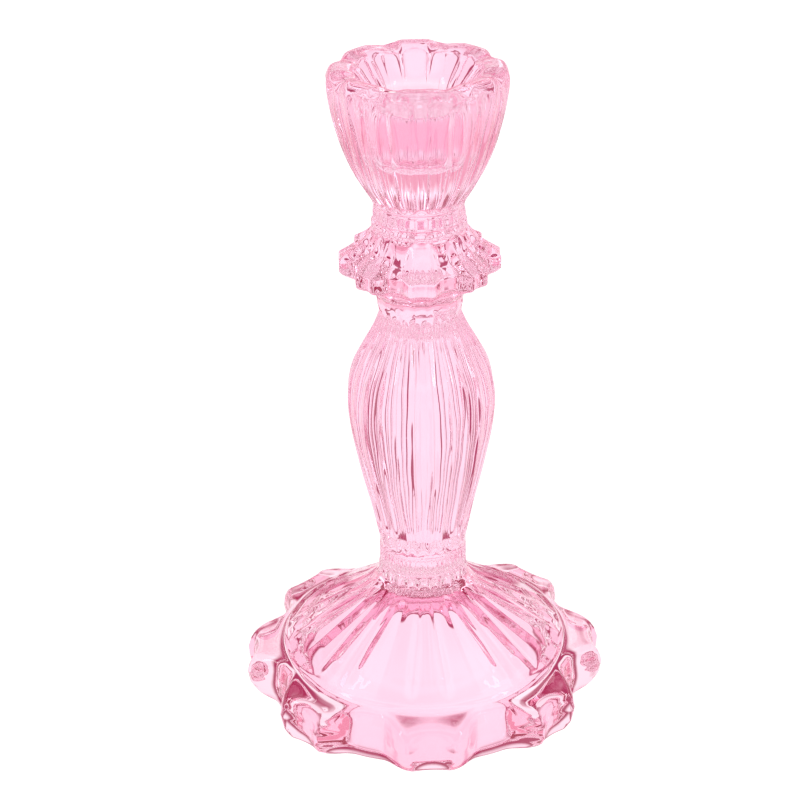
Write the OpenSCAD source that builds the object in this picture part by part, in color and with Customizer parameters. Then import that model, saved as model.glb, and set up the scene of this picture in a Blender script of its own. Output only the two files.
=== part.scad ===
// Pressed glass candlestick for one taper candle.
// Six glass sections stand on one another and are fused face to face.
// Millimetres, +Z up. The origin is the middle of the face that it stands on.
// One of the eight points of the pattern faces -Y.

/* [Candle socket] */
// Diameter of the round socket, for a 22 mm candle
socket_d = 22.5; // [20:0.1:26]
// Depth of the socket below the rim
socket_depth = 24; // [18:0.5:27]
// Diameter of the flared mouth at the rim
mouth_d = 34; // [30:0.5:35]
// Height of the flare above the round socket
mouth_h = 7; // [4:0.5:10]

/* [Cup] */
// Height of the cup
cup_h = 37.4; // [34:0.2:46]
// Largest diameter of the cup
cup_d = 48; // [46:0.5:56]
// Diameter of the foot of the cup
cup_base_d = 25.4; // [22:0.2:28]
// How far the rim rises on each of the points
rim_wave = 0.9; // [0:0.1:1.5]

/* [Neck ring] */
// Height of the ring between cup and collar
neck_h = 7.2; // [5:0.2:10]

/* [Collar] */
// Height of the collar
collar_h = 22; // [18:0.5:28]
// Diameter of the collar across its points
collar_d = 44; // [40:0.5:50]
// Thickness of the collar's edge
collar_edge = 4.6; // [3:0.1:6]

/* [Stem] */
// Height of the stem
stem_h = 74; // [50:1:120]
// Diameter of the stem's swelling
stem_d = 40.8; // [34:0.2:46]
// Diameter of the stem at its upper neck
stem_top_d = 22.6; // [20:0.2:26]
// Diameter of the stem where it stands on the foot ring
stem_base_d = 24.8; // [22:0.2:28]

/* [Foot ring] */
// Height of the ribbed ring under the stem
foot_ring_h = 10; // [6:0.5:14]

/* [Foot] */
// Height of the foot
foot_h = 37.1; // [30:0.1:45]
// Diameter of the foot across its points
foot_d = 104; // [90:1:120]
// Height of the rim round the foot
foot_rim_h = 16; // [12:0.5:20]
// Height of the hollow under the foot
hollow_h = 31.5; // [22:0.5:32]
// Diameter of the hollow at the table
hollow_d = 76; // [66:1:78]

/* [Pattern] */
// Depth of the upright flutes
flute_depth = 0.6; // [0.2:0.1:0.9]
// Height of the ribs on the foot
rib_h = 0.6; // [0.3:0.1:1.2]

/* [Hidden] */
glass = [1.0, 0.76, 0.86, 0.75];

points = 8;
flutes = 24;
sides = 96;
smooth = 96;
point_angle = 360 / points;
flute_angle = 360 / flutes;
// Each point has two lobes, half a flute to either side of its middle.
lobe_angle = flute_angle / 2;

foot_ring_z = foot_h;
stem_z = foot_ring_z + foot_ring_h;
collar_z = stem_z + stem_h;
neck_z = collar_z + collar_h;
cup_z = neck_z + neck_h;
rim_z = cup_z + cup_h;

foot_top_r = stem_base_d / 2 + 0.4;
collar_base_r = stem_top_d / 2 + 0.4;
neck_base_r = cup_base_d / 2 + 0.1;
neck_top_r = cup_base_d / 2 - 0.1;

// Angle from the middle of the nearest point of the pattern.
function from_point(a) = abs(a - point_angle * round(a / point_angle));
// 1 on the two lobes of a point, a little less between them, 0 in the bay.
function lobe(a) = let (d = from_point(a))
    d < lobe_angle ? 0.85 + 0.15 * pow(d / lobe_angle, 2)
    : pow(cos(90 * (d - lobe_angle) / (point_angle / 2 - lobe_angle)), 2);
// 0 on the arris between two flutes, 1 in the middle of a flute.
function flute(a) = let (d = a / flute_angle - round(a / flute_angle)) 1 - 4 * d * d;
// 1 on each pair of ribs that runs down the foot from the stem to a point.
function rib(a) = max(0, 1 - 3 * abs(from_point(a) - lobe_angle) / lobe_angle);

// A level is [height, radius, gain of the lobes, flute depth, rib height, rise on the points].
function ring_at(level) = [
    for (i = [0:sides - 1])
        let (a = 360 * i / sides,
             r = level[1] + level[2] * lobe(a) - level[3] * flute(a) + level[4] * rib(a))
        [r * sin(a), -r * cos(a), level[0] + level[5] * lobe(a)]
];

// Closed body through a stack of levels, flat at both ends.
module loft(levels) {
    last = len(levels) - 1;
    skin = [
        for (j = [0:last - 1], i = [0:sides - 1])
            let (k = (i + 1) % sides,
                 low = j * sides,
                 high = low + sides)
            each [[low + i, high + i, high + k], [low + i, high + k, low + k]]
    ];
    floor_face = [for (i = [0:sides - 1]) i];
    top_face = [for (i = [0:sides - 1]) last * sides + sides - 1 - i];
    polyhedron([for (level = levels) each ring_at(level)], concat([floor_face], skin, [top_face]));
}

// Flared mouth and round socket, cut down from the rim.
module socket_cut() {
    socket_r = socket_d / 2;
    flare_w = mouth_d / 2 - socket_r;
    floor_z = rim_z - socket_depth;
    over = 2;
    translate([0, 0, floor_z])
        cylinder(d = socket_d, h = socket_depth + over, $fn = smooth);
    rotate_extrude($fn = smooth)
        polygon([
            [0, rim_z - mouth_h],
            [socket_r, rim_z - mouth_h],
            [socket_r + 0.16 * flare_w, rim_z - 0.6 * mouth_h],
            [socket_r + 0.6 * flare_w, rim_z - 0.32 * mouth_h],
            [mouth_d / 2, rim_z - 0.12 * mouth_h],
            [mouth_d / 2 + 0.8, rim_z + rim_wave],
            [0, rim_z + rim_wave]
        ]);
}

module candle_cup() {
    r = cup_d / 2;
    d = flute_depth;
    base_r = cup_base_d / 2;
    swell = r - base_r;
    crest_z = rim_z - rim_wave;
    color(glass)
        difference() {
            loft([
                [cup_z, neck_top_r, 0, 0, 0, 0],
                [cup_z + 0.09 * cup_h, base_r + 0.16 * swell, 0, 0.7 * d, 0, 0],
                [cup_z + 0.22 * cup_h, base_r + 0.43 * swell, 0, d, 0, 0],
                [cup_z + 0.40 * cup_h, base_r + 0.68 * swell, 0, d, 0, 0],
                [cup_z + 0.58 * cup_h, base_r + 0.85 * swell, 0, d, 0, 0],
                [cup_z + 0.75 * cup_h, base_r + 0.94 * swell, 0.2, d, 0, 0],
                [cup_z + 0.88 * cup_h, r - 0.4, 0.4, d, 0, 0],
                [cup_z + 0.93 * cup_h, r - 0.8, 0.7, 0, 0, 0],
                [crest_z - 0.5, r - 1.9, 0.9, 0, 0, rim_wave],
                [crest_z, r - 3.2, 0.9, 0, 0, rim_wave],
                [crest_z - 0.2, mouth_d / 2 + 1.4, 0.4, 0, 0, 0.5 * rim_wave],
                [crest_z - 0.6, mouth_d / 2 - 1, 0, 0, 0, 0]
            ]);
            socket_cut();
        }
}

// Two fluted bands with a groove between them.
module neck_ring() {
    groove_r = neck_top_r - 0.6;
    color(glass)
        loft([
            [neck_z, neck_base_r, 0, 0, 0, 0],
            [neck_z + 0.10 * neck_h, neck_base_r + 0.3, 0, 0.3, 0, 0],
            [neck_z + 0.30 * neck_h, neck_base_r, 0, 0.4, 0, 0],
            [neck_z + 0.42 * neck_h, groove_r, 0, 0.2, 0, 0],
            [neck_z + 0.54 * neck_h, neck_top_r - 0.2, 0, 0.3, 0, 0],
            [neck_z + 0.80 * neck_h, neck_top_r - 0.2, 0, 0.4, 0, 0],
            [neck_z + neck_h, neck_top_r, 0, 0, 0, 0]
        ]);
}

module collar() {
    bay_r = 0.415 * collar_d;
    reach = collar_d / 2 - bay_r;
    edge_z = collar_z + 0.43 * collar_h;
    color(glass)
        loft([
            [collar_z, collar_base_r, 0, 0, 0, 0],
            [collar_z + 0.10 * collar_h, collar_base_r + 0.3, 0, 0.3, 0, 0],
            [edge_z - 3.4, bay_r - 3.6, 0.3 * reach, 0, 0, 0],
            [edge_z - 1, bay_r - 0.9, 0.8 * reach, 0, 0, 0],
            [edge_z, bay_r, reach, 0, 0, 0],
            [edge_z + collar_edge, bay_r, reach, 0, 0, 0],
            [edge_z + collar_edge + 0.9, bay_r - 1, 0.9 * reach, 0, 0, 0],
            [edge_z + 0.78 * (neck_z - edge_z), neck_base_r + 1.6, 0, 0, 0.3, 0],
            [neck_z, neck_base_r, 0, 0, 0, 0]
        ]);
}

module stem() {
    base_r = stem_base_d / 2;
    top_r = stem_top_d / 2;
    low_swell = stem_d / 2 - base_r;
    high_swell = stem_d / 2 - top_r;
    d = flute_depth;
    color(glass)
        loft([
            [stem_z, base_r, 0, 0, 0, 0],
            [stem_z + 0.04 * stem_h, base_r + 0.02 * low_swell, 0, 0.5 * d, 0, 0],
            [stem_z + 0.14 * stem_h, base_r + 0.21 * low_swell, 0, d, 0, 0],
            [stem_z + 0.24 * stem_h, base_r + 0.43 * low_swell, 0, d, 0, 0],
            [stem_z + 0.34 * stem_h, base_r + 0.66 * low_swell, 0, d, 0, 0],
            [stem_z + 0.45 * stem_h, base_r + 0.86 * low_swell, 0, d, 0, 0],
            [stem_z + 0.54 * stem_h, base_r + 0.98 * low_swell, 0, d, 0, 0],
            [stem_z + 0.61 * stem_h, stem_d / 2, 0, d, 0, 0],
            [stem_z + 0.68 * stem_h, top_r + 0.96 * high_swell, 0, d, 0, 0],
            [stem_z + 0.75 * stem_h, top_r + 0.82 * high_swell, 0, d, 0, 0],
            [stem_z + 0.83 * stem_h, top_r + 0.51 * high_swell, 0, d, 0, 0],
            [stem_z + 0.90 * stem_h, top_r + 0.20 * high_swell, 0, 0.7 * d, 0, 0],
            [stem_z + 0.96 * stem_h, top_r, 0, 0.4 * d, 0, 0],
            [stem_z + stem_h, collar_base_r, 0, 0, 0, 0]
        ]);
}

// A plain bead below and a taller fluted band above, with a groove between them.
module foot_ring() {
    r = stem_base_d / 2;
    band_z = foot_ring_z + 0.36 * foot_ring_h;
    color(glass)
        loft([
            [foot_ring_z, foot_top_r, 0, 0, 0, 0],
            [foot_ring_z + 0.06 * foot_ring_h, foot_top_r, 0, 0.3, 0, 0],
            [foot_ring_z + 0.28 * foot_ring_h, foot_top_r, 0, 0.4, 0, 0],
            [band_z, r - 0.7, 0, 0, 0, 0],
            [band_z + 0.10 * foot_ring_h, r - 0.1, 0, 0.4, 0, 0],
            [band_z + 0.50 * foot_ring_h, r - 0.1, 0, 0.4, 0, 0],
            [stem_z, r, 0, 0, 0, 0]
        ]);
}

// Hollow under the foot, left by the plunger of the mould.
module hollow_cut() {
    r = hollow_d / 2;
    over = 1;
    rotate_extrude($fn = smooth)
        polygon([
            [0, -over],
            [r, -over],
            [r, 0],
            [r - 0.8, 0.13 * hollow_h],
            [r - 3.4, 0.38 * hollow_h],
            [0.66 * r, 0.61 * hollow_h],
            [0.26 * r, 0.94 * hollow_h],
            [0.16 * r, hollow_h],
            [0, hollow_h]
        ]);
}

module foot() {
    edge_r = 0.3875 * foot_d;
    bay_r = 0.425 * foot_d;
    reach = foot_d / 2 - bay_r;
    drop = foot_h - foot_rim_h;
    flare = edge_r - foot_top_r;
    color(glass)
        difference() {
            loft([
                [0, bay_r - 0.4, 0.5 * reach, 0, 0, 0],
                [1, bay_r, 0.68 * reach, 0, 0, 0],
                [0.28 * foot_rim_h, bay_r, 0.9 * reach, 0, 0, 0],
                [0.5 * foot_rim_h, bay_r, reach, 0, 0, 0],
                [0.72 * foot_rim_h, bay_r - 0.2, 0.85 * reach, 0, 0, 0],
                [foot_rim_h - 2, bay_r - 0.8, 0.65 * reach, 0, 0, 0],
                [foot_rim_h - 0.5, edge_r + 1, 0.3 * reach, 0, 0, 0],
                [foot_rim_h, edge_r, 0, 0, 0, 0],
                [foot_rim_h + 0.06 * drop, foot_top_r + 0.92 * flare, 0, 0, 0.3 * rib_h, 0],
                [foot_rim_h + 0.30 * drop, foot_top_r + 0.63 * flare, 0, 0, rib_h, 0],
                [foot_rim_h + 0.56 * drop, foot_top_r + 0.34 * flare, 0, 0, rib_h, 0],
                [foot_rim_h + 0.80 * drop, foot_top_r + 0.12 * flare, 0, 0, rib_h, 0],
                [foot_h, foot_top_r, 0, 0, 0, 0]
            ]);
            hollow_cut();
        }
}

foot();
foot_ring();
stem();
collar();
neck_ring();
candle_cup();
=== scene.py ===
"""Pressed glass candlestick: six sections of clear pink glass, fused face to face.

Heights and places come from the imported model. The sections' sizes are in millimetres until MM turns them to
metres. Each section is turned from an outline, and its flutes, lobes and panels are then pressed into it.
"""

import math

import bpy
import numpy as np
from mathutils import Matrix, Vector


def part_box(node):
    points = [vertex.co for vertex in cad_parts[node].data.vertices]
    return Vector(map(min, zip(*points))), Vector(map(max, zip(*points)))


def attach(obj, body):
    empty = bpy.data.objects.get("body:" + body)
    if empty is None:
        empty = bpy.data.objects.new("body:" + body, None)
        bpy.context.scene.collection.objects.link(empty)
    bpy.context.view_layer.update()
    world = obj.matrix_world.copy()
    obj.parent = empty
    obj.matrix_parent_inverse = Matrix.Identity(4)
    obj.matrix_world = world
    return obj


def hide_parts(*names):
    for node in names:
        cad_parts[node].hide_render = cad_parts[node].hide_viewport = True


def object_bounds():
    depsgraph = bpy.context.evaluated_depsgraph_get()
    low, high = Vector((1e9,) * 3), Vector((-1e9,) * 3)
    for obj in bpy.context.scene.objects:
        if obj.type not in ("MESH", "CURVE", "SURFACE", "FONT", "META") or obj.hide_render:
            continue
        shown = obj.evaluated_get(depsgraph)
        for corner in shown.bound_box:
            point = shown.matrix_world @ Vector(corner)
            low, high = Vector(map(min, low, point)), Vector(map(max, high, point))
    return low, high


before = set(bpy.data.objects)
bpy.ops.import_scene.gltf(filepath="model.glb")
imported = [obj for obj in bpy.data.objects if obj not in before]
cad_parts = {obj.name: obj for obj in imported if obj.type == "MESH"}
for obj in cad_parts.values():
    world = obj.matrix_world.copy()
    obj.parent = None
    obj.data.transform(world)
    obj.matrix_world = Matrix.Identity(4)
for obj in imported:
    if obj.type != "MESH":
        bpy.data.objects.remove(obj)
cad_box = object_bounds()
bpy.ops.object.select_all(action="DESELECT")

MM = 0.001

# Steps in a full turn, and where the pattern lies around the axis, in degrees.
STEPS = 384
POINT = 45.0
FLUTE = 15.0
LOBE = 7.5

# How far the flutes crowd towards their arrises, and the radius outside which the surface is pressed.
CROWD = 0.5
PRESSED_R = 11.0

# Radius of the flat face at the top of each section, which the next section is fused to.
JOINT_R = {"foot": 12.7, "foot_ring": 12.3, "stem": 11.65, "collar": 12.6, "neck_ring": 12.3}

# Tints of the glass: its palest and deepest, the thick rim of the foot, the socket's wall and slanting faces.
TINT_DEEP = (0.985, 0.62, 0.78, 1)
TINT_PALE = (0.99, 0.69, 0.84, 1)
TINT_RIM = (0.97, 0.46, 0.63, 1)
TINT_SOCKET = (0.99, 0.82, 0.90, 1)
TINT_SLANT = (0.86, 0.14, 0.30, 1)

# Light in the room and on the paper, and painted shadow and shade on the paper. Rings are heights on the sky
# or radii on the floor, in metres.
WHITE = (1.15, 1.15, 1.15)
ROOM = (0.40, 0.025, 0.09)
HORIZON = (0.95, 0.52, 0.62)
# Painted contact shadow on the paper, seen only by rays through the glass: its colour and the radii of its
# rings.
CONTACT_SHADOW = (0.46, 0.07, 0.16)
CONTACT_SHADOW_RINGS = ((0.0377, 0.0402), (0.0465, 0.0474))
# Painted shade on the paper farther out: dimmer and pinker, seen only by rays through the glass.
FAR_PAPER_SHADE = (1.10, 0.80, 0.88)
LIGHT_RINGS = ((0.20, 0.36), (0.79, 0.94))
SOFT_EDGE = 0.0015
SKY_EDGE = 0.04
NEAR_FLOOR = 0.064


# ---------------------------------------------------------------- outlines


def smooth_line(points, spacing):
    """Evenly spaced points on a smooth curve through the given (radius, height) points."""
    p = np.array(points, float)
    p = np.vstack([2 * p[0] - p[1], p, 2 * p[-1] - p[-2]])
    fine = []
    for a, b, c, d in zip(p[:-3], p[1:-2], p[2:-1], p[3:]):
        for t in np.linspace(0, 1, 12, endpoint=False):
            square, cube = 2 * a - 5 * b + 4 * c - d, 3 * b - a - 3 * c + d
            fine.append(0.5 * (2 * b + (c - a) * t + square * t**2 + cube * t**3))
    fine.append(p[-2])
    fine = np.array(fine)
    run = np.concatenate([[0], np.cumsum(np.hypot(*np.diff(fine, axis=0).T))])
    count = max(2, int(round(run[-1] / spacing)) + 1)
    at = np.linspace(0, run[-1], count)
    return np.column_stack([np.interp(at, run, fine[:, 0]), np.interp(at, run, fine[:, 1])])


def outline(*stretches):
    """Joins stretches of a lathe line and drops the points that they share."""
    line = [tuple(stretches[0][0])]
    for stretch in stretches:
        for point in stretch:
            if math.dist(point, line[-1]) > 1e-4:
                line.append(tuple(point))
    return line


# ---------------------------------------------------------------- patterns


def ease(x):
    """0 below 0, 1 above 1 and smooth between."""
    x = np.clip(x, 0, 1)
    return x * x * (3 - 2 * x)


def from_point(azimuth):
    """Degrees from the middle of the nearest of the eight points."""
    return np.abs(azimuth - POINT * np.round(azimuth / POINT))


def across_flute(azimuth):
    """-1 to 1 across each of the 24 flutes, with an arris at either end."""
    return 2 * (azimuth / FLUTE - np.round(azimuth / FLUTE))


def scoop(s, rounding=0.1, power=2.0):
    """Section of a hollow flute: 1 in its middle and 0 on its fire-polished arris."""
    f = 1 - np.abs(s) ** power
    return f * f / (f + rounding) * (1 + rounding)


def twin_lobe(azimuth, apart, fall, dip):
    """Two knobs on each point, apart degrees from its middle, with a dip between them."""
    d = from_point(azimuth)
    side = 0.5 + 0.5 * np.cos(np.pi * np.clip((d - apart) / fall, 0, 1))
    return side * (1 - dip * np.clip(1 - (d / apart) ** 2, 0, 1))


# ---------------------------------------------------------------- glass bodies


def lathe(name, line):
    """Turns an outline that starts and ends on the axis into one closed body."""
    bpy.ops.object.select_all(action="DESELECT")
    bpy.ops.mesh.primitive_plane_add(size=MM)
    piece = bpy.context.object
    piece.name = piece.data.name = name
    bpy.ops.object.mode_set(mode="EDIT")
    bpy.ops.mesh.select_all(action="SELECT")
    bpy.ops.mesh.merge(type="CENTER")
    spots = [Vector((0, -r * MM, z * MM)) for r, z in line]
    bpy.ops.transform.translate(value=spots[0])
    for here, there in zip(spots, spots[1:]):
        bpy.ops.mesh.extrude_region_move(TRANSFORM_OT_translate={"value": there - here})
    bpy.ops.mesh.select_all(action="SELECT")
    bpy.ops.mesh.spin(steps=STEPS, angle=2 * math.pi, center=(0, 0, 0), axis=(0, 0, 1))
    bpy.ops.mesh.select_all(action="SELECT")
    bpy.ops.mesh.remove_doubles(threshold=2e-7)
    bpy.ops.mesh.delete_loose()
    bpy.ops.mesh.select_all(action="SELECT")
    bpy.ops.mesh.normals_make_consistent(inside=False)
    bpy.ops.object.mode_set(mode="OBJECT")
    return piece


def sway(azimuth, radius, z):
    """Small sideways wander of the pressed pattern, in degrees."""
    a = np.radians(azimuth)
    shift = 0.22 * np.sin(3 * a + 0.09 * z) + 0.12 * np.sin(7 * a - 0.17 * z + 1.0)
    shift += 0.04 * np.sin(11 * a + 0.33 * z)
    return np.degrees(shift / np.maximum(radius, 9.0))


def uneven(azimuth, z):
    """Small in and out wander of the pressed faces, in millimetres."""
    a = np.radians(azimuth)
    return 0.035 * np.sin(5 * a + 0.23 * z) + 0.025 * np.sin(13 * a - 0.47 * z + 2.0) - 0.06


def press(piece, base, shape, crowded=None):
    """Presses a pattern into a turned body: shape() gives the new radius and height of each point."""
    mesh = piece.data
    spots = np.empty(len(mesh.vertices) * 3)
    mesh.vertices.foreach_get("co", spots)
    spots = spots.reshape(-1, 3) / MM
    radius = np.hypot(spots[:, 0], spots[:, 1])
    azimuth = np.degrees(np.arctan2(spots[:, 0], -spots[:, 1]))
    height = spots[:, 2] - base
    share = 1.0 if crowded is None else crowded(radius, height)
    s = across_flute(azimuth)
    azimuth = azimuth + share * CROWD * np.sin(np.pi * s) / np.pi * FLUTE / 2
    new_radius, new_height = shape(azimuth, radius, height)
    new_radius = new_radius + np.where(radius > PRESSED_R, uneven(azimuth, spots[:, 2]), 0)
    turn = np.radians(azimuth + sway(azimuth, radius, spots[:, 2]))
    spots = np.column_stack([new_radius * np.sin(turn), -new_radius * np.cos(turn), new_height + base])
    spots[radius < 1e-3, :2] = 0
    mesh.vertices.foreach_set("co", (spots * MM).ravel())
    mesh.update()


def finish_glass(piece, node, joints):
    """Smooths a body, gives it the glass and makes its fused faces clear."""
    bpy.ops.object.select_all(action="DESELECT")
    piece.select_set(True)
    bpy.context.view_layer.objects.active = piece
    bpy.ops.object.shade_smooth_by_angle(angle=math.radians(50))
    piece.data.materials.append(GLASS)
    piece.data.materials.append(JOINT)
    for face in piece.data.polygons:
        if abs(face.normal.z) > 0.999 and min(abs(face.center.z - z * MM) for z in joints) < 1e-5:
            face.material_index = 1
    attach(piece, "root")
    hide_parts(node)


def span(node):
    """Lowest and highest height of a CAD section, in millimetres."""
    low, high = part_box(node)
    return low[2] / MM, high[2] / MM


# ---------------------------------------------------------------- sections


def foot_knobs(azimuth, radius, height):
    """How far the two knobs of each point stand out from the foot's wall."""
    heights = [0.0, 1.0, 4.0, 8.0, 11.0, 13.0, 14.5, 15.4, 16.0]
    reach = np.interp(height, heights, [3.8, 4.6, 6.7, 7.9, 7.3, 6.2, 4.8, 2.6, 0.0])
    dip = np.interp(height, [0, 4, 10, 15], [0.2, 0.38, 0.34, 0.12])
    apart = 5.6 + 0.145 * height
    return reach * twin_lobe(azimuth, apart, 12.0, dip) * ease((radius - 39.3) / 4.0)


def foot_cone(azimuth, radius, joint_r):
    """How far the cone rises or sinks: a pair of ribs on each point, hollow panels between and soft flutes."""
    d = from_point(azimuth)
    sideways = (d - LOBE) * np.radians(1) * radius
    width = np.minimum(2.4, 0.1 * radius)
    past_end = np.clip(radius - 36.9, 0, None)
    rib = np.clip(1 - (np.sqrt(sideways**2 + past_end**2) / width) ** 2, 0, 1) ** 2
    rib_h = 0.36 * ease((radius - joint_r) / 14)
    panel = np.where(d < LOBE, d / LOBE, (22.5 - d) / 15)
    sink = 0.2 * ease((radius - joint_r) / 4) * ease((39.8 - radius) / 2)
    sink *= np.clip(1 - (2 * panel - 1) ** 2, 0, 1)
    flute = 0.1 * (0.5 + 0.5 * np.cos(np.pi * across_flute(azimuth)))
    flute *= ease((radius - joint_r) / 1.2) * ease((21 - radius) / 8)
    return rib * rib_h - sink - flute


def make_foot():
    base, top = span("foot")
    joint_r = JOINT_R["foot"]
    edge_r, rim_z = 40.3, 16.0
    cone = [(joint_r, top), (13.3, 35.9), (15.0, 33.8), (18.5, 30.9), (24.0, 27.0), (30.0, 22.9), (36.0, 18.9)]
    cone += [(39.2, 16.9), (40.0, 16.4), (edge_r, rim_z)]
    wall = [(edge_r, rim_z), (40.5, 15.4), (41.1, 15.1), (42.2, 14.8), (43.1, 14.0), (43.6, 12.5), (43.9, 9.0)]
    wall += [(44.4, 5.0), (44.8, 1.8), (44.6, 0.6), (43.9, 0.08), (43.2, 0.0)]
    hollow = [(39.2, 0.0), (38.6, 0.2), (38.1, 1.1), (37.5, 4.0), (35.9, 9.0), (33.0, 13.3), (25.5, 19.2)]
    hollow += [(17.0, 25.0), (10.5, 29.2), (7.6, 30.8), (4.0, 31.5), (0.0, 31.6)]
    line = outline(
        [(0.0, top), (joint_r * 0.5, top), (joint_r, top)],
        smooth_line(cone, 0.55),
        smooth_line(wall, 0.45),
        [(43.2, 0.0), (41.2, 0.0), (39.2, 0.0)],
        smooth_line(hollow, 1.0),
    )
    piece = lathe("foot", line)

    def shape(azimuth, radius, height):
        outside = (height < 15.99) & (radius > 39.3)
        on_cone = (height > rim_z) & (radius > joint_r)
        bulge = np.where(outside, foot_knobs(azimuth, radius, height), 0)
        lift = np.where(on_cone, foot_cone(azimuth, radius, joint_r), 0)
        return radius + bulge, height + lift

    press(piece, base, shape)
    finish_glass(piece, "foot", [top])


def make_foot_ring():
    base, top = span("foot_ring")
    low_r, high_r = JOINT_R["foot"], JOINT_R["foot_ring"]
    tall = top - base
    side = [(low_r, 0.0), (12.75, 0.6), (12.7, 1.8), (12.5, 2.9), (12.05, 3.5), (11.95, 3.75), (12.25, 4.3)]
    side += [(12.35, 5.2), (12.35, 8.4), (12.2, 9.1), (12.1, 9.5), (high_r, tall)]
    line = outline(
        [(0.0, base), (low_r * 0.5, base), (low_r, base)],
        [(r, z + base) for r, z in smooth_line(side, 0.22)],
        [(high_r, top), (high_r * 0.5, top), (0.0, top)],
    )
    piece = lathe("foot_ring", line)

    def shape(azimuth, radius, height):
        solid = radius > PRESSED_R
        beads = 0.6 * scoop(across_flute(azimuth)) * ease(height / 0.5) * ease((3.4 - height) / 0.6)
        ribs = 0.5 * scoop(across_flute(2 * azimuth)) * ease((height - 4.2) / 0.5) * ease((9.2 - height) / 0.6)
        return radius - np.where(solid, beads + ribs, 0), height

    press(piece, base, shape)
    finish_glass(piece, "foot_ring", [base, top])


def make_stem():
    base, top = span("stem")
    low_r, high_r = JOINT_R["foot_ring"], JOINT_R["stem"]
    tall = top - base
    side = [(low_r, 0.0), (12.5, 2.2), (14.0, 10.1), (15.8, 17.8), (17.6, 25.5), (19.1, 33.1), (20.15, 40.0)]
    side += [(20.45, 45.3), (20.05, 50.2), (18.75, 55.4), (16.1, 60.9), (13.2, 66.1), (11.55, 70.0)]
    side += [(11.25, 71.8), (high_r, tall)]
    line = outline(
        [(0.0, base), (low_r * 0.5, base), (low_r, base)],
        [(r, z + base) for r, z in smooth_line(side, 0.75)],
        [(high_r, top), (high_r * 0.5, top), (0.0, top)],
    )
    piece = lathe("stem", line)

    def shape(azimuth, radius, height):
        s = across_flute(azimuth)
        arch = 0.5 * (1 - np.sqrt(np.clip(1 - s * s, 0, 1)))
        ends = ease((height - 0.3 - arch) / 5) * ease((tall - 0.6 - height) / 4)
        softness = np.interp(from_point(azimuth), [LOBE, FLUTE], [0.5, 0.05])
        depth = 0.56 * scoop(s, softness) * ends
        swell = 0.25 * twin_lobe(azimuth, LOBE, 12, 0.1) * ends
        return np.where(radius > 7, radius - depth + swell - 0.2 * ends, radius), height

    press(piece, base, shape)
    finish_glass(piece, "stem", [base, top])


def make_collar():
    base, top = span("collar")
    low_r, high_r = JOINT_R["stem"], JOINT_R["collar"]
    tall = top - base
    under = [(low_r, 0.0), (11.75, 1.2), (12.4, 3.4), (14.0, 5.8), (16.2, 7.9), (17.8, 9.2), (18.3, 9.9)]
    edge = [(18.3, 9.9), (18.5, 10.5), (18.5, 13.5), (18.3, 14.1)]
    over = [(18.3, 14.1), (17.6, 14.7), (16.0, 16.2), (14.3, 18.3), (13.2, 20.3), (12.7, 21.4), (high_r, tall)]
    line = outline(
        [(0.0, base), (low_r * 0.5, base), (low_r, base)],
        [(r, z + base) for r, z in smooth_line(under, 0.4)],
        [(r, z + base) for r, z in smooth_line(edge, 0.3)],
        [(r, z + base) for r, z in smooth_line(over, 0.4)],
        [(high_r, top), (high_r * 0.5, top), (0.0, top)],
    )
    piece = lathe("collar", line)

    def shape(azimuth, radius, height):
        knob = twin_lobe(azimuth, 7.0, 10.5, 0.3)
        soft = 0.5 + 0.5 * np.cos(np.pi * np.clip(from_point(azimuth) / 22.5, 0, 1))
        reach = np.clip((radius - 12.0) / 6.4, 0, 1)
        above = height > 12
        crisp = np.where(above, reach**0.8, reach**1.4)
        out = crisp * (2.9 * knob + 0.7 * soft)
        flutes = 0.15 * scoop(across_flute(azimuth), 0.4)
        flutes *= ease((radius - 11.5) / 1.0) * ease((16 - radius) / 3)
        ends = ease(height / 0.8) * ease((tall - height) / 0.8)
        return np.where(radius > 7, radius + (out - flutes) * ends, radius), height

    press(piece, base, shape)
    finish_glass(piece, "collar", [base, top])


def make_neck_ring():
    base, top = span("neck_ring")
    low_r, high_r = JOINT_R["collar"], JOINT_R["neck_ring"]
    tall = top - base
    side = [(low_r, 0.0), (12.75, 0.5), (12.85, 1.3), (12.65, 2.2), (12.1, 2.7), (12.0, 2.95), (12.3, 3.4)]
    side += [(12.35, 4.4), (12.2, 5.8), (11.95, 6.5), (12.0, 6.8), (high_r, tall)]
    line = outline(
        [(0.0, base), (low_r * 0.5, base), (low_r, base)],
        [(r, z + base) for r, z in smooth_line(side, 0.2)],
        [(high_r, top), (high_r * 0.5, top), (0.0, top)],
    )
    piece = lathe("neck_ring", line)

    def shape(azimuth, radius, height):
        bands = ease(height / 0.4) * ease((2.7 - height) / 0.4)
        bands += ease((height - 3.2) / 0.4) * ease((6.5 - height) / 0.5)
        depth = 0.26 * scoop(across_flute(azimuth)) * bands
        wave = 0.3 * twin_lobe(azimuth, LOBE, 12, 0.2) * ease(height / 0.6) * ease((tall - height) / 0.6)
        return np.where(radius > 7, radius - depth + wave - 0.15 * bands, radius), height

    press(piece, base, shape)
    finish_glass(piece, "neck_ring", [base, top])


# Radius of the crest of the cup's rim.
CREST_R = 20.9


def inside_cup(radius, height, tall):
    """Whether a point is on the socket, the mouth or the inner half of the rim."""
    parting = np.interp(height, [13, 26, 30, 34, 36.5, tall], [12.6, 12.6, 14.5, 18, 20.4, CREST_R])
    return (radius < parting) & (height > 13.0)


def rim_valley(azimuth):
    """0 on the eight lobes of the rim and 1 in the dips between them."""
    return 0.5 - 0.5 * np.cos(np.pi * np.clip((from_point(azimuth) - 8) / 14.5, 0, 1))


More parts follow.
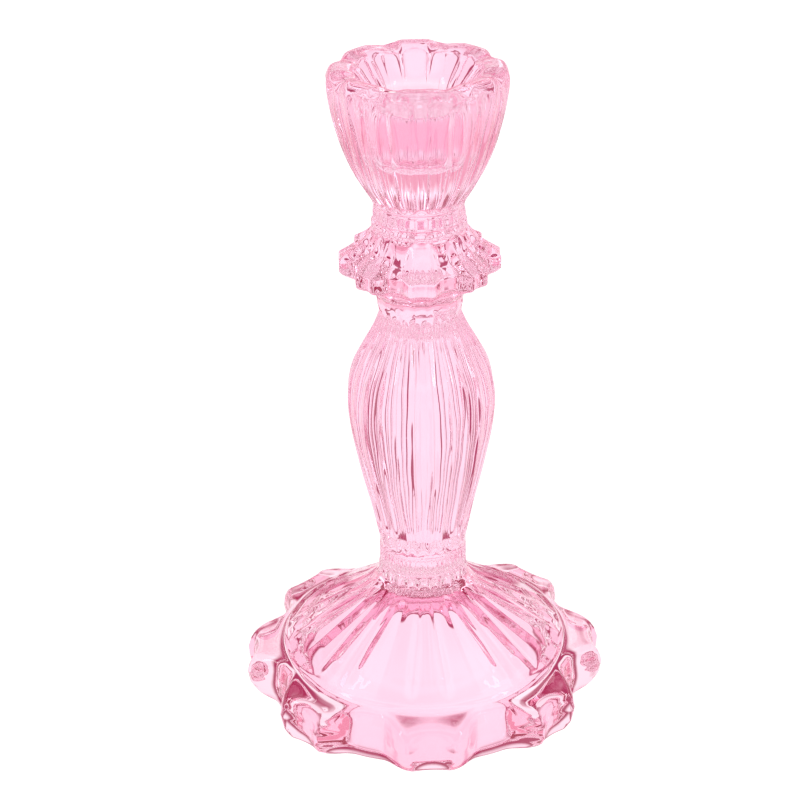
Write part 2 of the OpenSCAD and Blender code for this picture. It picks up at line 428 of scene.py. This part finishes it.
def cup_outside(azimuth, radius, height, drop):
    """Radius of the cup's outer wall, with arched flutes below eight lobes."""
    s = across_flute(azimuth)
    arch = 2.6 * (1 - np.sqrt(np.clip(1 - s * s, 0, 1)))
    flute_end = ease((height - 0.5) / 1.5) * ease((35.6 - drop - arch - height) / 0.7)
    flute = np.interp(height, [22, 32], [0.75, 0.5]) * scoop(s, 0.25) * flute_end
    lobes = 0.3 * twin_lobe(azimuth, LOBE, 12, 0.15) * ease((height - 20) / 12)
    return radius - flute - 1.0 * drop + lobes * ease((height - 1) / 3) - 0.2


def mouth_panels(azimuth, height, drop):
    """Depth of the twelve hollow panels in the mouth, six narrow ones and six wide ones."""
    narrow_half, wide_half = 13.125, 16.875
    t = azimuth - 60 * np.round(azimuth / 60)
    p = np.where(np.abs(t) < narrow_half, t / narrow_half, (np.abs(t) - 30) / wide_half)
    panel_top = 36.6 - 1.8 * (1 - np.sqrt(np.clip(1 - p * p, 0, 1))) - 0.6 * drop
    depth = np.interp(height, [16.0, 25.0, 29.0, 31.0, 33.0, 35.5], [0.05, 0.1, 0.25, 0.6, 1.0, 1.3])
    return scoop(p, 0.03, 8.0) * ease((panel_top + 0.3 - height) / 1.4) * depth


def make_cup():
    base, top = span("candle_cup")
    joint_r = JOINT_R["neck_ring"]
    tall = top - base
    outside = [(joint_r, 0.0), (12.9, 1.0), (14.4, 3.3), (17.4, 8.4), (20.3, 15.1), (22.2, 21.7), (23.4, 28.3)]
    outside += [(23.95, 33.0), (23.75, 35.0), (23.0, 36.5), (21.9, 37.2), (20.9, tall)]
    rim = [(20.9, tall), (19.6, 37.35), (18.4, 37.15), (17.4, 36.8), (16.6, 36.2), (15.7, 35.3), (14.7, 34.0)]
    bore = [(14.7, 34.0), (13.6, 32.4), (12.6, 30.8), (11.8, 29.3), (11.35, 27.8), (11.25, 24.0)]
    bore += [(11.25, 18.6), (11.05, 16.8), (10.4, 15.3), (9.3, 14.2), (8.0, 13.6), (7.0, 13.4)]
    floor = [(7.0, 13.4), (4.6, 13.4), (2.2, 13.4), (0.0, 13.4)]
    line = outline(
        [(0.0, base), (joint_r * 0.5, base), (joint_r, base)],
        [(r, z + base) for r, z in smooth_line(outside, 0.55)],
        [(r, z + base) for r, z in smooth_line(rim, 0.4)],
        [(r, z + base) for r, z in smooth_line(bore, 0.5)],
        [(r, z + base) for r, z in floor],
    )
    piece = lathe("candle_cup", line)

    def crowded(radius, height):
        within = ease((CREST_R - radius) / 3)
        return np.where(inside_cup(radius, height, tall), 1 - within, 1.0)

    def shape(azimuth, radius, height):
        within = inside_cup(radius, height, tall)
        near_rim = ease((height - 28) / 8.5)
        drop = rim_valley(azimuth) * near_rim * np.where(within, ease((radius - 14.5) / 4), 1)
        outer = np.where(height > 0.5, cup_outside(azimuth, radius, height, drop), radius)
        inner = radius + np.where(radius > 9.5, mouth_panels(azimuth, height, drop), 0)
        new_radius = np.where(within, inner, outer)
        new_radius = np.where(radius < joint_r - 1e-3, np.where(within, inner, radius), new_radius)
        return new_radius, height - 0.7 * drop

    press(piece, base, shape, crowded)
    finish_glass(piece, "candle_cup", [base])


# ---------------------------------------------------------------- materials


def new_material(name):
    material = bpy.data.materials.new(name)
    material.use_nodes = True
    material.node_tree.nodes.clear()
    return material


def add_node(tree, kind, values=None, **settings):
    """Adds a node. The settings are its own properties and the values go on its sockets."""
    node = tree.nodes.new("ShaderNode" + kind)
    for setting, value in settings.items():
        setattr(node, setting, value)
    for socket, value in (values or {}).items():
        node.inputs[socket].default_value = value
    return node


def add_ramp(tree, stops):
    """Adds a colour ramp with the given (position, colour) stops."""
    ramp = tree.nodes.new("ShaderNodeValToRGB")
    first, last = ramp.color_ramp.elements
    first.position, first.color = stops[0]
    last.position, last.color = stops[-1]
    for position, colour in stops[1:-1]:
        ramp.color_ramp.elements.new(position).color = colour
    return ramp


def turn_into(tree, below, colour, factor):
    """Mixes the colour that comes from below into another one, by a factor."""
    mixed = add_node(tree, "Mix", {"B": colour}, data_type="RGBA")
    tree.links.new(factor, mixed.inputs["Factor"])
    tree.links.new(below, mixed.inputs["A"])
    return mixed.outputs["Result"]


def radius_range(tree, away, low, high, interpolation="LINEAR"):
    """0 at the low radius and 1 at the high one."""
    ends = {"From Min": low, "From Max": high}
    between = add_node(tree, "MapRange", ends, interpolation_type=interpolation)
    tree.links.new(away, between.inputs["Value"])
    return between.outputs["Result"]


def socket_mask(tree, place, away):
    """1 on the wall of the candle socket and 0 elsewhere."""
    levels = add_node(tree, "SeparateXYZ")
    in_cup = add_node(tree, "Math", {1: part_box("candle_cup")[0][2] + 5 * MM}, operation="GREATER_THAN")
    socket = add_node(tree, "Math", operation="MULTIPLY")
    tree.links.new(place, levels.inputs["Vector"])
    tree.links.new(levels.outputs["Z"], in_cup.inputs[0])
    tree.links.new(in_cup.outputs["Value"], socket.inputs[0])
    tree.links.new(radius_range(tree, away, 0.0125, 0.0115), socket.inputs[1])
    return socket.outputs["Value"]


def glass_tint(tree, place, drift):
    """Uneven pink, deeper at the foot's rim and on slanting faces and paler in the socket."""
    flat = add_node(tree, "VectorMath", {1: (1, 1, 0)}, operation="MULTIPLY")
    across = add_node(tree, "VectorMath", operation="LENGTH")
    slant = add_node(tree, "LayerWeight", {"Blend": 0.5})
    edge = add_node(tree, "Math", {1: 2.6}, operation="POWER")
    pink = add_ramp(tree, [(0.3, TINT_DEEP), (0.7, TINT_PALE)])
    tree.links.new(place, flat.inputs[0])
    tree.links.new(flat.outputs["Vector"], across.inputs[0])
    tree.links.new(slant.outputs["Facing"], edge.inputs[0])
    tree.links.new(drift, pink.inputs["Fac"])
    away = across.outputs["Value"]
    colour = turn_into(tree, pink.outputs["Color"], TINT_RIM, radius_range(tree, away, 0.041, 0.046))
    colour = turn_into(tree, colour, TINT_SOCKET, socket_mask(tree, place, away))
    return turn_into(tree, colour, TINT_SLANT, edge.outputs["Value"])


def mould_marks(tree, place):
    """A faint wave and small pits, left by the mould."""
    wave = add_node(tree, "TexNoise", {"Scale": 90.0, "Detail": 1.0})
    pits = add_node(tree, "TexVoronoi", {"Scale": 260.0})
    pit_size = add_node(tree, "MapRange", {"From Max": 0.09})
    ripple = add_node(tree, "Bump", {"Strength": 0.04, "Distance": 0.0006})
    pitted = add_node(tree, "Bump", {"Strength": 0.08, "Distance": 0.0003})
    tree.links.new(place, wave.inputs["Vector"])
    tree.links.new(place, pits.inputs["Vector"])
    tree.links.new(wave.outputs["Fac"], ripple.inputs["Height"])
    tree.links.new(pits.outputs["Distance"], pit_size.inputs["Value"])
    tree.links.new(pit_size.outputs["Result"], pitted.inputs["Height"])
    tree.links.new(ripple.outputs["Normal"], pitted.inputs["Normal"])
    return pitted.outputs["Normal"]


def pressed_glass():
    """Clear pink glass with the marks of its mould."""
    material = new_material("pressed_pink_glass")
    tree = material.node_tree
    out = add_node(tree, "OutputMaterial")
    glass = add_node(tree, "BsdfPrincipled", {"Transmission Weight": 1.0, "IOR": 1.52})
    place = add_node(tree, "TexCoord").outputs["Object"]
    drift = add_node(tree, "TexNoise", {"Scale": 22.0, "Detail": 3.0})
    haze = add_node(tree, "MapRange", {"To Min": 0.0, "To Max": 0.012})
    tree.links.new(place, drift.inputs["Vector"])
    tree.links.new(drift.outputs["Fac"], haze.inputs["Value"])
    tree.links.new(haze.outputs["Result"], glass.inputs["Roughness"])
    tree.links.new(glass_tint(tree, place, drift.outputs["Fac"]), glass.inputs["Base Color"])
    tree.links.new(mould_marks(tree, place), glass.inputs["Normal"])
    tree.links.new(glass.outputs["BSDF"], out.inputs["Surface"])
    return material


def fused_joint():
    """Where two sections are fused there is no surface, so the faces inside the glass are clear."""
    material = new_material("fused_joint")
    tree = material.node_tree
    out = add_node(tree, "OutputMaterial")
    clear = add_node(tree, "BsdfTransparent")
    tree.links.new(clear.outputs["BSDF"], out.inputs["Surface"])
    return material


def contact_shadow_stops():
    """White paper with rings of painted contact shadow where the foot's edge meets it."""
    stops = [(0.0, (*WHITE, 1))]
    for low, high in CONTACT_SHADOW_RINGS:
        edges = ((low - SOFT_EDGE, WHITE), (low, CONTACT_SHADOW), (high, CONTACT_SHADOW), (high + SOFT_EDGE, WHITE))
        stops += [(reach / NEAR_FLOOR, (*colour, 1)) for reach, colour in edges]
    return stops + [(1.0, (*WHITE, 1))]


def shadow_streaks(tree, place, away):
    """1 in eight soft streaks of painted shadow, the shadows the flutes throw on the paper, that begin clear
    of the foot.
    """
    split = add_node(tree, "SeparateXYZ")
    bearing = add_node(tree, "Math", operation="ARCTAN2")
    rays = add_node(tree, "Math", {1: 8.0}, operation="MULTIPLY")
    wave = add_node(tree, "Math", operation="COSINE")
    soft = {"From Min": -0.78, "From Max": -0.94}
    shadow_streak = add_node(tree, "MapRange", soft, interpolation_type="SMOOTHSTEP")
    both = add_node(tree, "Math", operation="MULTIPLY")
    tree.links.new(place, split.inputs["Vector"])
    tree.links.new(split.outputs["X"], bearing.inputs[0])
    tree.links.new(split.outputs["Y"], bearing.inputs[1])
    tree.links.new(bearing.outputs["Value"], rays.inputs[0])
    tree.links.new(rays.outputs["Value"], wave.inputs[0])
    tree.links.new(wave.outputs["Value"], shadow_streak.inputs["Value"])
    tree.links.new(shadow_streak.outputs["Result"], both.inputs[0])
    tree.links.new(radius_range(tree, away, 0.07, 0.09), both.inputs[1])
    return both.outputs["Value"]


def pale_floor():
    """Plain white paper to the camera; to rays through the glass it shows painted contact shadow rings,
    painted shadow streaks and painted shade that dims and pinks it farther out.
    """
    material = new_material("studio_floor")
    tree = material.node_tree
    out = add_node(tree, "OutputMaterial")
    paper = add_node(tree, "Emission", {"Color": (*WHITE, 1)})
    seen = add_node(tree, "Emission")
    path = add_node(tree, "LightPath")
    either = add_node(tree, "MixShader")
    place = add_node(tree, "TexCoord").outputs["Object"]
    length = add_node(tree, "VectorMath", operation="LENGTH")
    tree.links.new(place, length.inputs[0])
    away = length.outputs["Value"]
    # Painted contact shadow: dark rings on the paper under the foot's edge.
    shade = add_ramp(tree, contact_shadow_stops())
    tree.links.new(radius_range(tree, away, 0.0, NEAR_FLOOR), shade.inputs["Fac"])
    # Painted shadow: eight dark streaks on the paper, the shadows that the flutes throw.
    colour = turn_into(tree, shade.outputs["Color"], (*CONTACT_SHADOW, 1), shadow_streaks(tree, place, away))
    # Painted shade: the paper dims and turns pink from 0.35 m to 1.1 m out.
    far_shade = radius_range(tree, away, 0.35, 1.1, "SMOOTHSTEP")
    tree.links.new(turn_into(tree, colour, (*FAR_PAPER_SHADE, 1), far_shade), seen.inputs["Color"])
    tree.links.new(path.outputs["Is Camera Ray"], either.inputs["Fac"])
    tree.links.new(seen.outputs["Emission"], either.inputs[1])
    tree.links.new(paper.outputs["Emission"], either.inputs[2])
    tree.links.new(either.outputs["Shader"], out.inputs["Surface"])
    return material


# ---------------------------------------------------------------- studio


def make_floor():
    bpy.ops.object.select_all(action="DESELECT")
    bpy.ops.mesh.primitive_plane_add(size=8, location=(0, 0, 0))
    floor = bpy.context.object
    floor.name = "studio_floor"
    floor.data.materials.append(pale_floor())


def sky_stops():
    """Colours of the room by the height of the line of sight, from level to straight up."""
    stops = [(0.0, (*HORIZON, 1))]
    for (low, high), under in zip(LIGHT_RINGS, (HORIZON, ROOM)):
        stops += [(low - SKY_EDGE, (*under, 1)), (low + SKY_EDGE, (*WHITE, 1))]
        stops += [(high - SKY_EDGE, (*WHITE, 1)), (high + SKY_EDGE, (*ROOM, 1))]
    return stops + [(1.0, (*ROOM, 1))]


def make_world():
    """Dim room with two rings of white light in it, one low and one high."""
    world = bpy.data.worlds.new("studio")
    bpy.context.scene.world = world
    world.use_nodes = True
    tree = world.node_tree
    tree.nodes.clear()
    out = add_node(tree, "OutputWorld")
    sky = add_node(tree, "Background")
    place = add_node(tree, "TexCoord")
    split = add_node(tree, "SeparateXYZ")
    ramp = add_ramp(tree, sky_stops())
    tree.links.new(place.outputs["Generated"], split.inputs["Vector"])
    tree.links.new(split.outputs["Z"], ramp.inputs["Fac"])
    tree.links.new(ramp.outputs["Color"], sky.inputs["Color"])
    tree.links.new(sky.outputs["Background"], out.inputs["Surface"])


def soft_box(name, place, aim, size, power):
    light = bpy.data.lights.new(name, "AREA")
    light.shape = "RECTANGLE"
    light.size, light.size_y = size
    light.energy = power
    box = bpy.data.objects.new(name, light)
    bpy.context.collection.objects.link(box)
    box.location = place
    box.rotation_euler = (Vector(aim) - Vector(place)).to_track_quat("-Z", "Y").to_euler()


def make_camera():
    """Looks down on the candlestick from the front, a little to its left."""
    low, high = cad_box
    aim = Vector((0, 0, 0.4529 * high[2]))
    distance, down, turned, roll = 0.6527, 27.26, -1.88, -0.646
    a, e = math.radians(turned), math.radians(down)
    back = Vector((math.sin(a) * math.cos(e), -math.cos(a) * math.cos(e), math.sin(e)))
    right = Vector((math.cos(a), math.sin(a), 0))
    up = back.cross(right)
    turn = Matrix((right, up, back)).transposed().to_4x4()
    camera = bpy.data.cameras.new("studio_camera")
    camera.sensor_width = 36.0
    camera.lens = 105.7
    camera.shift_x = -0.0268
    camera.shift_y = 0.0234
    camera.clip_start = 0.01
    eye = bpy.data.objects.new("studio_camera", camera)
    bpy.context.collection.objects.link(eye)
    tilt = Matrix.Rotation(math.radians(roll), 4, "Z")
    eye.matrix_world = Matrix.Translation(aim + back * distance) @ turn @ tilt
    bpy.context.scene.camera = eye


# ---------------------------------------------------------------- build

GLASS = pressed_glass()
JOINT = fused_joint()

make_foot()
make_foot_ring()
make_stem()
make_collar()
make_neck_ring()
make_cup()

make_floor()
make_world()
soft_box("left_box", (-0.8, -0.25, 0.55), (0, 0, 0.1), (0.14, 0.6), 1.0)
soft_box("right_box", (0.75, -0.35, 0.5), (0, 0, 0.1), (0.10, 0.5), 0.7)
soft_box("back_box", (0.2, 0.85, 0.6), (0, 0, 0.1), (0.14, 0.5), 0.3)
make_camera()

scene = bpy.context.scene
scene.view_settings.view_transform = "Standard"
scene.cycles.max_bounces = 24
scene.cycles.transmission_bounces = 24
scene.cycles.glossy_bounces = 12
scene.cycles.transparent_max_bounces = 32
